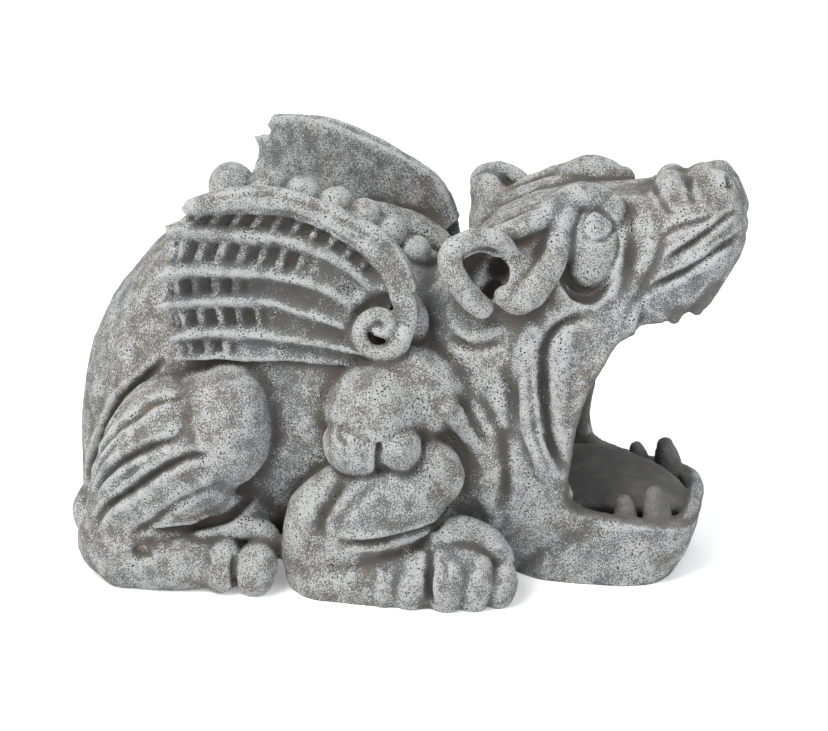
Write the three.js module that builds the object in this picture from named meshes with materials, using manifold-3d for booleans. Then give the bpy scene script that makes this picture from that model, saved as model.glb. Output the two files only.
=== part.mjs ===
// A crouching, winged gargoyle cast in one piece of stone, of the kind that stands under a
// roof's downpipe and lets the water out of its mouth.
// Millimetres, +Z up. +X runs from the tail to the snout and +Y is the creature's left side.
// The figure is the same on both sides of the XZ plane, apart from its tail. The places below are
// measured from a point on the ground under its chest. The finished figure is then moved so that
// the origin is on the ground under its middle.
import * as THREE from "three";
import { LoftGeometry } from "three/addons/geometries/LoftGeometry.js";
import { mergeVertices } from "three/addons/utils/BufferGeometryUtils.js";
import Module from "manifold-3d";

const wasm = await Module();
wasm.setup();

// Driving dimensions.
const hipHalfWidth = 110; // over the hind feet, where the figure is widest
const pawHalfWidth = 104;
// Outer face of a wing, from the middle, at its front and rear end along the lower and upper edge.
const wingBase = { front: 72, rear: 84 };
const wingTip = { front: 64, rear: 106 };
const wingFoot = 124; // height of a wing's lower edge
const wingTop = 217;
const wingFront = 8;
const wingLength = 120;
const cheekHalfWidth = 65;
const jawHalfWidth = 51;
const jawFront = 160;
const jawWall = 10;
const rimHeight = 37; // top of the lower jaw at the corner of the mouth
const groundSlab = 400; // a block larger than the figure, which cuts the underside flat

// ---------------------------------------------------------------- solids

function solid(geometry) {
  const bare = geometry.index ? geometry.toNonIndexed() : geometry.clone();
  bare.deleteAttribute("normal");
  bare.deleteAttribute("uv");
  const merged = mergeVertices(bare, 1e-3);
  return new wasm.Manifold(
    new wasm.Mesh({
      numProp: 3,
      vertProperties: merged.getAttribute("position").array,
      triVerts: new Uint32Array(merged.index.array),
    }),
  );
}

// The same shape on the other side of the XZ plane, with its faces turned to point out again.
function mirrored(geometry) {
  const copy = (geometry.index ? geometry.toNonIndexed() : geometry.clone()).scale(1, -1, 1);
  const position = copy.getAttribute("position");
  const flipped = new Float32Array(position.array.length);
  for (let corner = 0; corner < position.count; corner += 3) {
    [0, 2, 1].forEach((from, to) => {
      flipped.set(position.array.subarray((corner + from) * 3, (corner + from) * 3 + 3), (corner + to) * 3);
    });
  }
  return new THREE.BufferGeometry().setAttribute("position", new THREE.BufferAttribute(flipped, 3));
}

const join = (solids) => solids.reduce((whole, next) => whole.add(next));
const onBothSides = (geometries) => geometries.flatMap((geometry) => [solid(geometry), solid(mirrored(geometry))]);
const point = ([x, y, z]) => new THREE.Vector3(x, y, z);

// ---------------------------------------------------------------- forms

const power = (value, exponent) => Math.sign(value) * Math.abs(value) ** exponent;

// One closed ring of a loft: wide along side, and rising and dropping along up.
function ring({ centre, side, up, width, rise, drop = rise, squareness = 2, count = 16 }) {
  return Array.from({ length: count }, (_, i) => {
    const turn = (i / count) * 2 * Math.PI;
    const out = width * power(Math.cos(turn), 2 / squareness);
    const high = (Math.sin(turn) > 0 ? rise : drop) * power(Math.sin(turn), 2 / squareness);
    return centre.clone().addScaledVector(side, out).addScaledVector(up, high);
  });
}

// A solid through upright slices [x, bottom, top, half width, height of the widest place].
function slices(rows, { squareness = 2.3, count = 18 } = {}) {
  const side = new THREE.Vector3(0, 1, 0);
  const up = new THREE.Vector3(0, 0, 1);
  const rings = rows.map(([x, bottom, top, width, widest]) =>
    ring({
      centre: new THREE.Vector3(x, 0, widest),
      side,
      up,
      width,
      rise: top - widest,
      drop: widest - bottom,
      squareness,
      count,
    }),
  );
  return new LoftGeometry(rings, { capStart: true, capEnd: true });
}

// A rounded limb through path, as thick as radii say, and flattened along Y by flat.
function limb(path, radii, { flat = 1, sides = 8, steps = 2 * (path.length - 1) } = {}) {
  const curve = new THREE.CatmullRomCurve3(path.map(point));
  const radiusCurve = new THREE.CatmullRomCurve3(radii.map((radius, i) => new THREE.Vector3(i, radius, 0)));
  const frames = curve.computeFrenetFrames(steps, false);
  const flatten = (vector) => vector.clone().multiply(new THREE.Vector3(1, flat, 1));
  const ringAt = (i, shrink, push) => {
    const radius = radiusCurve.getPoint(i / steps).y;
    return ring({
      centre: curve.getPoint(i / steps).addScaledVector(frames.tangents[i], push * radius),
      side: flatten(frames.normals[i]),
      up: flatten(frames.binormals[i]),
      width: radius * shrink,
      rise: radius * shrink,
      count: sides,
    });
  };
  const rings = [ringAt(0, 0.55, -0.7)];
  for (let i = 0; i <= steps; i += 1) {
    rings.push(ringAt(i, 1, 0));
  }
  rings.push(ringAt(steps, 0.55, 0.7));
  return new LoftGeometry(rings, { capStart: true, capEnd: true });
}

// A rounded lump with its own three radii, tilted in the side view by lean degrees.
function lump([x, y, z], [rx, ry, rz], lean = 0, across = 8, down = 6) {
  return new THREE.SphereGeometry(1, across, down)
    .scale(rx, ry, rz)
    .rotateY(THREE.MathUtils.degToRad(lean))
    .translate(x, y, z);
}

// A side-view outline of [x, z] points, drawn as one smooth closed curve and thickened along Y.
function sidePrism(outline, halfDepth, pointsPerSpan = 2) {
  const curve = new THREE.CatmullRomCurve3(
    outline.map(([x, z]) => new THREE.Vector3(x, z, 0)),
    true,
    "centripetal",
  );
  const shape = new THREE.Shape(
    curve.getPoints(outline.length * pointsPerSpan).slice(1).map((p) => new THREE.Vector2(p.x, p.y)),
  );
  return new THREE.ExtrudeGeometry(shape, { depth: 2 * halfDepth, bevelEnabled: false })
    .translate(0, 0, -halfDepth)
    .rotateX(Math.PI / 2);
}

// A closed slab between two grids of points. Rows run down and columns forward, and outer faces -Y.
function slab(outer, inner) {
  const corners = [];
  const face = (...points) => corners.push(...points.flat());
  const lastRow = outer.length - 1;
  const lastColumn = outer[0].length - 1;
  for (let row = 0; row < lastRow; row += 1) {
    for (let column = 0; column < lastColumn; column += 1) {
      const [here, below] = [outer[row], outer[row + 1]];
      face(here[column], below[column], here[column + 1]);
      face(below[column], below[column + 1], here[column + 1]);
      const [behind, under] = [inner[row], inner[row + 1]];
      face(behind[column], behind[column + 1], under[column]);
      face(under[column], behind[column + 1], under[column + 1]);
    }
  }
  const edgeOf = (grid) => [
    ...grid[0],
    ...grid.slice(1).map((points) => points[lastColumn]),
    ...grid[lastRow].slice(0, lastColumn).reverse(),
    ...grid.slice(1, lastRow).map((points) => points[0]).reverse(),
  ];
  const [front, back] = [edgeOf(outer), edgeOf(inner)];
  front.forEach((corner, i) => {
    const next = (i + 1) % front.length;
    face(corner, front[next], back[next]);
    face(corner, back[next], back[i]);
  });
  return new THREE.BufferGeometry().setAttribute("position", new THREE.Float32BufferAttribute(corners, 3));
}

// ---------------------------------------------------------------- trunk

const trunkSlices = [
  [-184, 6, 62, 24, 34],
  [-179, -8, 102, 47, 48],
  [-163, -14, 138, 61, 62],
  [-142, -16, 164, 71, 74],
  [-118, -16, 184, 75, 82],
  [-92, -16, 194, 77, 86],
  [-62, -16, 190, 77, 88],
  [-30, -16, 179, 76, 88],
  [0, -16, 162, 74, 86],
  [26, -16, 150, 68, 82],
  [50, -16, 150, 60, 80],
];

// Knobs down the spine, [x, top].
const spineKnobs = [
  [-100, 208],
  [-80, 206],
  [-61, 202],
  [-43, 197],
  [-27, 191],
  [-13, 183],
  [1, 172],
];
const knob = { length: 9.5, width: 11, height: 11 };

const tail = {
  path: [
    [-162, 8, 24],
    [-175, 0, 20],
    [-180, -20, 15],
    [-177, -40, 12],
    [-163, -56, 9],
  ],
  radii: [14, 10, 9, 8.5, 6],
};

function trunk() {
  const knobs = spineKnobs.map(([x, top]) =>
    solid(lump([x, 0, top - knob.height], [knob.length, knob.width, knob.height], 0, 6, 4)),
  );
  return join([solid(slices(trunkSlices, { squareness: 2.5 })), ...knobs, solid(limb(tail.path, tail.radii, { sides: 7, steps: 6 }))]);
}

// ---------------------------------------------------------------- legs, on the side y < 0

const haunch = {
  path: [
    [-146, -84, 20],
    [-130, -82, 46],
    [-108, -77, 75],
    [-91, -75, 87],
  ],
  radii: [20, 32, 40, 35],
};
const knee = { centre: [-83, -82, 78], radii: [25, 25, 40], lean: 8 };
const haunchFolds = [
  { path: [[-144, -94, 36], [-124, -100, 66], [-100, -100, 98]], radius: 9 },
  { path: [[-138, -98, 26], [-112, -103, 52], [-86, -101, 76]], radius: 9 },
];
const hindFoot = {
  path: [
    [-142, 22 - hipHalfWidth, 9],
    [-108, 18 - hipHalfWidth, 10],
    [-84, 18 - hipHalfWidth, 13],
  ],
  radii: [21, 20, 19],
};
// Toes as [x, distance from the middle]; each stands on the ground.
const hindToes = [
  [-85, hipHalfWidth - 12],
  [-68, hipHalfWidth - 14],
  [-59, hipHalfWidth - 28],
];
const hindToe = { length: 11, width: 11, height: 18, lean: 12 };

const upperArm = { centre: [-6, -70, 99], radii: [26, 27, 29], lean: 8 };
const elbowKnob = { centre: [10, -84, 84], radii: [11, 10, 10] };
const forearm = {
  path: [
    [-32, -78, 20],
    [-14, -80, 42],
    [10, -76, 58],
    [24, -71, 67],
  ],
  radii: [25, 29, 28, 21],
};
const forePaw = {
  path: [
    [-30, 22 - pawHalfWidth, 9],
    [4, 18 - pawHalfWidth, 10],
    [38, 20 - pawHalfWidth, 15],
  ],
  radii: [19, 19, 21],
};
const foreToes = [
  [5, pawHalfWidth - 11],
  [19, pawHalfWidth - 10],
  [35, pawHalfWidth - 11],
  [51, pawHalfWidth - 16],
  [62, pawHalfWidth - 24],
];
const foreToe = { length: 9, width: 10, height: 16, lean: 12 };

function toes(places, { length, width, height, lean }) {
  return places.map(([x, out]) => lump([x, -out, height * 0.75], [length, width, height], lean, 6, 4));
}

function legs() {
  return onBothSides([
    limb(haunch.path, haunch.radii, { flat: 0.78, sides: 9, steps: 5 }),
    ...haunchFolds.map(({ path, radius }) => limb(path, [radius * 0.6, radius, radius * 0.5], { sides: 5, steps: 3 })),
    limb(hindFoot.path, hindFoot.radii, { flat: 0.9, sides: 7, steps: 3 }),
    lump(knee.centre, knee.radii, knee.lean, 9, 6),
    ...toes(hindToes, hindToe),
    lump(upperArm.centre, upperArm.radii, upperArm.lean, 9, 6),
    lump(elbowKnob.centre, elbowKnob.radii, 0, 6, 4),
    limb(forearm.path, forearm.radii, { flat: 0.75, steps: 4 }),
    limb(forePaw.path, forePaw.radii, { flat: 0.85, sides: 7, steps: 3 }),
    ...toes(foreToes, foreToe),
  ]);
}

// ---------------------------------------------------------------- wings

const wing = {
  thickness: 9,
  ribHeight: 5,
  notch: 8, // how far the rear edge is hollowed in between two ribs
  columns: 5,
  flare: 2.6, // how late the upper edge starts to spread
};
// Ribs of the wing from the top down, each from the rear edge to the scroll, as [x, z].
const ribs = [
  [[-97, 212], [-62, wingTop - 1], [-21, 203], [9, 177]],
  [[-108, 199], [-71, 193], [-33, 183], [1, 155]],
  [[-115, 173], [-79, 174], [-38, 166], [-10, 150]],
  [[-115, 156], [-79, 159], [-46, 152], [-12, 141]],
  [[-112, 138], [-80, 140], [-49, 138], [-10, 131]],
  [[-112, wingFoot + 1], [-73, wingFoot + 2], [-49, wingFoot + 1], [-10, wingFoot]],
];
const leadingEdge = [
  [-96, wingTop - 6],
  [-62, wingTop - 5],
  [-28, 201],
  [-4, 184],
];
const scroll = { centre: [-6, 149], start: 16, end: 8, turns: 1, radiusStart: 7, radiusEnd: 5, steps: 12 };
const wingRoot = { centre: [-42, -54, 142], radii: [60, 15, 34] };

// Distance of a wing's outer face from the middle: the wing flares outwards to the rear and the top.
function wingOut(x, z) {
  const back = THREE.MathUtils.clamp((wingFront - x) / wingLength, 0, 1);
  const base = THREE.MathUtils.lerp(wingBase.front, wingBase.rear, back);
  const tip = THREE.MathUtils.lerp(wingTip.front, wingTip.rear, back ** wing.flare);
  return THREE.MathUtils.lerp(base, tip, THREE.MathUtils.clamp((z - wingFoot) / (wingTop - wingFoot), 0, 1));
}

// The web of the wing: a slab with a crest along each rib and a hollow between two ribs.
function wingWeb() {
  const lines = ribs.map((rib) => new THREE.CatmullRomCurve3(rib.map(([x, z]) => new THREE.Vector3(x, 0, z))));
  const crests = lines.map((line) => line.getPoints(wing.columns - 1));
  const rows = crests.flatMap((crest, k) => {
    const next = crests[k + 1];
    const lift = k < ribs.length - 1 ? wing.ribHeight : 0;
    const ridge = crest.map(({ x, z }) => ({ x, z, lift }));
    if (!next) {
      return [ridge];
    }
    const hollow = crest.map(({ x, z }, column) => ({
      x: (x + next[column].x) / 2 + (column === 0 ? wing.notch : 0),
      z: (z + next[column].z) / 2,
      lift: 0,
    }));
    return [ridge, hollow];
  });
  const outer = rows.map((row) => row.map(({ x, z, lift }) => [x, -wingOut(x, z) - lift + wing.ribHeight / 2, z]));
  const inner = rows.map((row) => row.map(({ x, z }) => [x, -wingOut(x, z) + wing.thickness, z]));
  return slab(outer, inner);
}

// The leading edge runs forward along the top and curls into a scroll at the shoulder. It is made
// as two limbs, because the inner turn of the scroll touches the outer one.
function wingRim() {
  const top = leadingEdge.map(([x, z]) => [x, -wingOut(x, z), z]);
  const curl = Array.from({ length: scroll.steps }, (_, i) => {
    const share = i / (scroll.steps - 1);
    const turn = 0.35 - share * scroll.turns * 2 * Math.PI;
    const radius = THREE.MathUtils.lerp(scroll.start, scroll.end, share);
    const [x, z] = [scroll.centre[0] + radius * Math.cos(turn), scroll.centre[1] + radius * Math.sin(turn)];
    return [x, -wingOut(x, z) - 2 * share, z];
  });
  const path = [...top, ...curl];
  const radii = path.map((_, i) => THREE.MathUtils.lerp(scroll.radiusStart, scroll.radiusEnd, i / path.length));
  const middle = Math.ceil(path.length / 2);
  return [
    limb(path.slice(0, middle + 1), radii.slice(0, middle + 1), { sides: 5, steps: 9 }),
    limb(path.slice(middle), radii.slice(middle), { sides: 5, steps: 5 }),
  ];
}

function wings() {
  const geometries = [wingWeb(), ...wingRim(), lump(wingRoot.centre, wingRoot.radii, 0, 8, 4)];
  return onBothSides(geometries);
}

// ---------------------------------------------------------------- head

const headSlices = [
  [4, -16, 150, 58, 84],
  [26, -16, 168, cheekHalfWidth - 3, 88],
  [44, -16, 187, cheekHalfWidth, 90],
  [64, -14, 199, cheekHalfWidth, 92],
  [84, -12, 206, cheekHalfWidth - 3, 92],
  [104, -10, 208, cheekHalfWidth - 9, 92],
  [124, -8, 205, cheekHalfWidth - 17, 96],
];
const muzzleSlices = [
  [96, 140, 206, 40, 172],
  [122, 138, 208, 43, 168],
  [136, 143, 215, 43, 170],
  [150, 151, 217, 41, 175],
  [163, 160, 222, 36, 185],
  [173, 173, 220, 28, 192],
  [177.5, 183, 211, 18, 196],
];
// Plan-view rings of the lower jaw: [height, front end, half width].
const jawRings = [
  [-6, jawFront - 12, jawHalfWidth - 4],
  [6, jawFront - 4, jawHalfWidth],
  [20, jawFront, jawHalfWidth],
  [rimHeight + 2, jawFront - 1, jawHalfWidth - 1],
];
const jawBack = 56;

// The open mouth as it shows from the side: between palate, cheek edge and jaw rim.
const mouthOutline = [
  [120, 138],
  [109, 120],
  [101, 103],
  [98, 88],
  [97, 70],
  [97, 54],
  [103, 42],
  [120, rimHeight],
  [150, rimHeight - 3],
  [178, 26],
  [230, 20],
  [230, 150],
  [180, 150],
  [150, 144],
];
// The hollow of the mouth and throat, a blind recess.
const throatSlices = [
  [-8, 46, 74, 10, 60],
  [4, 36, 94, 24, 62],
  [30, 24, 112, 34, 64],
  [60, 16, 126, 42, 66],
  [100, 12, 138, 45, 70],
  [126, 12, 148, 44, 78],
];
const palateSlices = [
  [112, 120, 150, 36, 134],
  [140, 126, 158, 32, 140],
  [162, 140, 166, 24, 148],
];
const trough = { floor: 12, top: 60 };

const tongue = {
  path: [
    [50, 0, 28],
    [80, 0, 34],
    [112, 0, 36],
    [138, 0, 32],
    [152, 0, 27],
  ],
  widths: [27, 27, 25, 19, 9],
  thickness: 9,
};
// Teeth as { foot, height, radius, lean }, on the side y < 0.
const teeth = [
  { foot: [123, -40, 26], height: 25, radius: 6, lean: -10 },
  { foot: [138, -36, 24], height: 33, radius: 8, lean: -8 },
];
const fangs = [
  { foot: [156, -27, 164], height: 19, radius: 5.5, lean: 172 },
  { foot: [142, -33, 153], height: 11, radius: 4, lean: 178 },
];

const ear = {
  path: [
    [54, -46, 162],
    [44, -58, 172],
    [34, -66, 186],
  ],
  radii: [25, 21, 12],
  cup: { centre: [48, -76, 166], radii: [15, 16, 15] },
};
const brow = {
  outer: [
    [54, -52, 156],
    [70, -52, 158],
    [83, -48, 170],
    [84, -44, 190],
    [89, -39, 203],
    [102, -32, 205],
  ],
  inner: [
    [78, -34, 201],
    [93, -28, 209],
    [107, -24, 209],
    [117, -23, 198],
  ],
};
const eye = { centre: [101, -31, 181], radii: [14, 17, 21], lean: -12 };
const cheekFolds = [
  [[88, -58, 152], [76, -66, 130], [70, -70, 100], [78, -66, 70], [98, -56, 46]],
  [[104, -53, 132], [94, -60, 106], [92, -61, 78], [100, -55, 52]],
];
const whiskerFolds = [
  [[137, -42, 168], [154, -40, 176], [170, -29, 189]],
  [[134, -43, 156], [154, -38, 163], [171, -26, 177]],
];
const nostril = { centre: [177, -10, 212], radii: [7, 4, 5.5] };
const noseLump = { centre: [164, 0, 208], radii: [13, 21, 14] };

// A horizontal ring of the lower jaw, square behind and rounded in front.
function jawRing(z, front, halfWidth) {
  const half = (front - jawBack) / 2;
  return ring({
    centre: new THREE.Vector3(jawBack + half, 0, z),
    side: new THREE.Vector3(1, 0, 0),
    up: new THREE.Vector3(0, 1, 0),
    width: half,
    rise: halfWidth,
    squareness: 3,
    count: 16,
  });
}

const jawBlock = () =>
  new LoftGeometry(jawRings.map(([z, front, halfWidth]) => jawRing(z, front, halfWidth)), {
    capStart: true,
    capEnd: true,
  });

const jawTrough = () =>
  new LoftGeometry(
    [
      jawRing(trough.floor, jawFront - 2 * jawWall, jawHalfWidth - 1.6 * jawWall),
      jawRing(trough.floor + 8, jawFront - jawWall, jawHalfWidth - jawWall),
      jawRing(trough.top, jawFront - jawWall, jawHalfWidth - jawWall),
    ],
    { capStart: true, capEnd: true },
  );

// A tooth or fang: a blunt cone, leaning in the side view.
function tooth({ foot, height, radius, lean }) {
  const profile = [
    [0, -6],
    [radius, -6],
    [radius * 0.95, height * 0.4],
    [radius * 0.5, height * 0.88],
    [0, height],
  ];
  return new THREE.LatheGeometry(profile.map(([r, h]) => new THREE.Vector2(r, h)), 6)
    .rotateX(Math.PI / 2)
    .rotateY(THREE.MathUtils.degToRad(lean))
    .translate(...foot);
}

// A long flat tongue, thin at its edges and rounded at its tip.
function tongueSlab() {
  const curve = new THREE.CatmullRomCurve3(tongue.path.map(point));
  const rings = tongue.widths.map((width, i) =>
    ring({
      centre: curve.getPoint(i / (tongue.widths.length - 1)),
      side: new THREE.Vector3(0, 1, 0),
      up: new THREE.Vector3(0, 0, 1),
      width,
      rise: tongue.thickness / 2,
      drop: tongue.thickness,
      squareness: 2.6,
      count: 14,
    }),
  );
  return new LoftGeometry(rings, { capStart: true, capEnd: true });
}

function headShell() {
  return join([solid(slices(headSlices)), solid(slices(muzzleSlices, { count: 16 })), solid(jawBlock())]);
}

function mouthHollow() {
  return join([
    solid(sidePrism(mouthOutline, 90)),
    solid(slices(throatSlices, { squareness: 2.6, count: 12 })),
    solid(slices(palateSlices, { count: 16 })),
    solid(jawTrough()),
  ]);
}

function faceDetails() {
  return onBothSides([
    limb(ear.path, ear.radii, { flat: 0.8, sides: 7, steps: 3 }),
    limb(brow.outer, [9, 9, 8, 7.5, 7, 5], { sides: 5, steps: 5 }),
    limb(brow.inner, [5, 7, 7, 6], { sides: 5, steps: 3 }),
    lump(eye.centre, eye.radii, eye.lean, 8, 6),
    ...cheekFolds.map((fold) => limb(fold, fold.map(() => 7), { sides: 5, steps: 4 })),
    ...whiskerFolds.map((fold) => limb(fold, [5, 6, 4.5], { sides: 5, steps: 2 })),
    ...fangs.map(tooth),
  ]);
}

function mouthDetails() {
  return [solid(tongueSlab()), ...onBothSides(teeth.map(tooth))];
}

// ---------------------------------------------------------------- the whole figure

function figure() {
  const mass = join([trunk(), ...legs(), ...wings(), headShell()]);
  const opened = mass.subtract(mouthHollow());
  const dressed = join([opened, ...faceDetails(), solid(lump(noseLump.centre, noseLump.radii)), ...mouthDetails()]);
  const hollows = onBothSides([lump(ear.cup.centre, ear.cup.radii), lump(nostril.centre, nostril.radii, 0, 8, 6)]);
  const ground = solid(
    new THREE.BoxGeometry(2 * groundSlab, 2 * groundSlab, groundSlab).translate(0, 0, -groundSlab / 2),
  );
  return dressed.subtract(join([...hollows, ground]));
}

function geometryOf(manifold) {
  const { numProp, numVert, vertProperties, triVerts } = manifold.getMesh();
  const position = new Float32Array(numVert * 3);
  for (let i = 0; i < numVert; i += 1) {
    position.set(vertProperties.subarray(i * numProp, i * numProp + 3), i * 3);
  }
  return new THREE.BufferGeometry()
    .setAttribute("position", new THREE.BufferAttribute(position, 3))
    .setIndex(new THREE.BufferAttribute(triVerts, 1));
}

// Moves a geometry so that the origin is under the middle of its box. It already stands on z = 0.
function centredOverOrigin(geometry) {
  geometry.computeBoundingBox();
  const middle = geometry.boundingBox.getCenter(new THREE.Vector3());
  return geometry.translate(-middle.x, -middle.y, 0);
}

const stone = new THREE.MeshStandardMaterial({ color: 0x878784, roughness: 0.95, metalness: 0 });
const gargoyle = new THREE.Mesh(centredOverOrigin(geometryOf(figure())), stone);
gargoyle.name = "gargoyle";

export default new THREE.Group().add(gargoyle);
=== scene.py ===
import math

import bmesh
import bpy
import numpy as np
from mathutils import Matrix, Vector
from mathutils.bvhtree import BVHTree
from mathutils.kdtree import KDTree


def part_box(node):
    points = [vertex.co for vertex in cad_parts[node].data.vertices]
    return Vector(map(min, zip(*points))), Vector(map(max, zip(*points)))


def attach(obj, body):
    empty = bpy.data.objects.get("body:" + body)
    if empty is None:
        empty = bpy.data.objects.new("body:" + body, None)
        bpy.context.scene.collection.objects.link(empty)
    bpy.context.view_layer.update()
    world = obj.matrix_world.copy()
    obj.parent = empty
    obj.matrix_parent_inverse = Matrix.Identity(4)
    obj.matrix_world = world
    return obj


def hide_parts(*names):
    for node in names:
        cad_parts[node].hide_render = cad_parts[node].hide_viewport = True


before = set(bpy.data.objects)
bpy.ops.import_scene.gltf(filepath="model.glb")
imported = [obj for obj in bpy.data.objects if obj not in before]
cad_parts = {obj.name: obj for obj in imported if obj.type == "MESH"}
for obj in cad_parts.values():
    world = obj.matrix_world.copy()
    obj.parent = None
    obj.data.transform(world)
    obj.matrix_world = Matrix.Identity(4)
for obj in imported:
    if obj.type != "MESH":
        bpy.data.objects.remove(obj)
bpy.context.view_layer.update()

# The clay is modelled in millimetres from a point under the chest, with the snout along +X and the
# creature's left along +Y. The snout's tip is noseX from there, and the box places it in the frame.
figure = {"noseX": 177.5, "length": 366.5}
boxLow, boxHigh = [Vector(corner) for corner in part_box("gargoyle")]
metre = (boxHigh.x - boxLow.x) / figure["length"]
shiftX = boxHigh.x / metre - figure["noseX"]


def place(x, y, z):
    return Vector(((x + shiftX) * metre, y * metre, z * metre))


def clayPoint(point):
    return np.array((point[0] / metre - shiftX, point[1] / metre, point[2] / metre))


# camera, floor and light

studio = {
    "azimuth": 10.5,
    "elevation": 20.0,
    "distance": 1.25,
    "aim": (0, 0, 99),
    "lens": 99.46,
    "floorSize": 12,
    "floorGlow": 0.25,
    "floorColour": (0.9, 0.9, 0.9, 1),
    "world": (0.96, 0.98, 1.0, 1),
    "worldStrength": 0.62,
    "lamps": [
        {"at": (-0.7, -0.9, 1.5), "size": 0.9, "power": 36, "colour": (1, 0.98, 0.95)},
        {"at": (1.2, -0.9, 0.7), "size": 1.0, "power": 7, "colour": (0.95, 0.97, 1)},
        {"at": (0.2, 1.1, 1.2), "size": 1.2, "power": 9, "colour": (1, 1, 1)},
    ],
}


def lookingPlace():
    azimuth, elevation = math.radians(studio["azimuth"]), math.radians(studio["elevation"])
    back = Vector((
        math.sin(azimuth) * math.cos(elevation),
        -math.cos(azimuth) * math.cos(elevation),
        math.sin(elevation),
    ))
    return place(*studio["aim"]) + back * studio["distance"], back


def makeStudio():
    at, back = lookingPlace()
    bpy.ops.object.camera_add(location=at)
    camera = bpy.context.object
    camera.rotation_euler = back.to_track_quat("Z", "Y").to_euler()
    camera.data.lens = studio["lens"]
    camera.data.sensor_width = 36
    camera.data.sensor_fit = "HORIZONTAL"
    camera.data.clip_start = 0.05
    bpy.context.scene.camera = camera

    bpy.ops.mesh.primitive_plane_add(size=studio["floorSize"], location=(0, 0, 0))
    floor = bpy.context.object
    floor.name = "studioFloor"
    paint = bpy.data.materials.new("floorPaint")
    paint.use_nodes = True
    shader = paint.node_tree.nodes["Principled BSDF"]
    shader.inputs["Base Color"].default_value = studio["floorColour"]
    shader.inputs["Roughness"].default_value = 0.9
    shader.inputs["Emission Color"].default_value = (1, 1, 1, 1)
    shader.inputs["Emission Strength"].default_value = studio["floorGlow"]
    floor.data.materials.append(paint)

    bpy.context.scene.view_settings.view_transform = "Standard"

    world = bpy.data.worlds.new("studioAir")
    world.use_nodes = True
    air = world.node_tree.nodes["Background"]
    air.inputs["Color"].default_value = studio["world"]
    air.inputs["Strength"].default_value = studio["worldStrength"]
    bpy.context.scene.world = world

    for lamp in studio["lamps"]:
        bpy.ops.object.light_add(type="AREA", location=lamp["at"])
        light = bpy.context.object
        light.data.size = lamp["size"]
        light.data.energy = lamp["power"]
        light.data.color = lamp["colour"]
        toAim = place(*studio["aim"]) - Vector(lamp["at"])
        light.rotation_euler = toAim.to_track_quat("-Z", "Y").to_euler()


# working the clay

def deselect():
    bpy.ops.object.select_all(action="DESELECT")


def applied(piece, modifier):
    deselect()
    bpy.context.view_layer.objects.active = piece
    piece.select_set(True)
    bpy.ops.object.modifier_apply(modifier=modifier.name)
    return piece


def freeze():
    bpy.ops.object.transform_apply(location=True, rotation=True, scale=True)
    return bpy.context.object


def joined(pieces):
    deselect()
    for piece in pieces:
        piece.select_set(True)
    bpy.context.view_layer.objects.active = pieces[0]
    if len(pieces) > 1:
        bpy.ops.object.join()
    return bpy.context.object


# a ball stretched to three radii, tilted in the side view by lean
def lump(at, radii, lean=0.0):
    deselect()
    bpy.ops.mesh.primitive_uv_sphere_add(
        segments=40,
        ring_count=24,
        radius=1,
        location=place(*at),
        rotation=(0, math.radians(lean), 0),
        scale=[radius * metre for radius in radii],
    )
    return freeze()


# a rounded limb through points, with a radius at each, flattened across by flat
def limb(points, radii, flat=1.0):
    bpy.ops.curve.primitive_bezier_curve_add(location=(0, 0, 0))
    piece = bpy.context.object
    curve = piece.data
    spline = curve.splines[0]
    spline.bezier_points.add(len(points) - 2)
    for knot, at, radius in zip(spline.bezier_points, points, radii):
        knot.co = place(at[0], at[1] / flat, at[2])
        knot.radius = radius * metre
        knot.handle_left_type = knot.handle_right_type = "AUTO"
    spline.radius_interpolation = "CARDINAL"
    spline.resolution_u = 10
    curve.dimensions = "3D"
    curve.bevel_depth = 1.0
    curve.bevel_resolution = 6
    curve.use_fill_caps = True
    piece.scale = (1, flat, 1)
    deselect()
    piece.select_set(True)
    bpy.ops.object.convert(target="MESH")
    pieces = [freeze()]
    for at, radius in ((points[0], radii[0]), (points[-1], radii[-1])):
        pieces.append(lump(at, (radius, radius * flat, radius)))
    return joined(pieces)


# closed clay through rings of points, each ring extruded from the one before it
def extrudedRings(rings):
    deselect()
    bpy.ops.mesh.primitive_circle_add(vertices=len(rings[0]), radius=0.01, fill_type="NGON")
    piece = bpy.context.object
    bpy.ops.object.mode_set(mode="EDIT")
    bpy.ops.mesh.select_all(action="SELECT")
    order = list(range(len(rings[0])))
    for number, ring in enumerate(rings):
        if number:
            bpy.ops.mesh.extrude_region_move(TRANSFORM_OT_translate={"value": (0, 0, 0.001)})
        clay = bmesh.from_edit_mesh(piece.data)
        clay.verts.ensure_lookup_table()
        if number:
            # each corner's new partner is its one neighbour in the ring just extruded
            order = [
                next(
                    edge.other_vert(clay.verts[k]).index
                    for edge in clay.verts[k].link_edges
                    if edge.other_vert(clay.verts[k]).select
                )
                for k in order
            ]
        for k, point in zip(order, ring):
            clay.verts[k].co = point
        bmesh.update_edit_mesh(piece.data)
    bpy.ops.mesh.select_all(action="SELECT")
    bpy.ops.mesh.normals_make_consistent(inside=False)
    bpy.ops.object.mode_set(mode="OBJECT")
    return piece


def rounded(turn, squareness):
    return (
        abs(math.cos(turn)) ** (2 / squareness) * math.copysign(1, math.cos(turn)),
        abs(math.sin(turn)) ** (2 / squareness) * math.copysign(1, math.sin(turn)),
    )


# upright slices [x, bottom, top, half width, height of the widest place]
def slices(rows, squareness=2.4, around=56):
    rings = []
    for x, bottom, top, half, widest in rows:
        ring = []
        for k in range(around):
            out, high = rounded(2 * math.pi * k / around, squareness)
            reach = top - widest if high > 0 else widest - bottom
            ring.append(place(x, half * out, widest + high * reach))
        rings.append(ring)
    return extrudedRings(rings)


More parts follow.
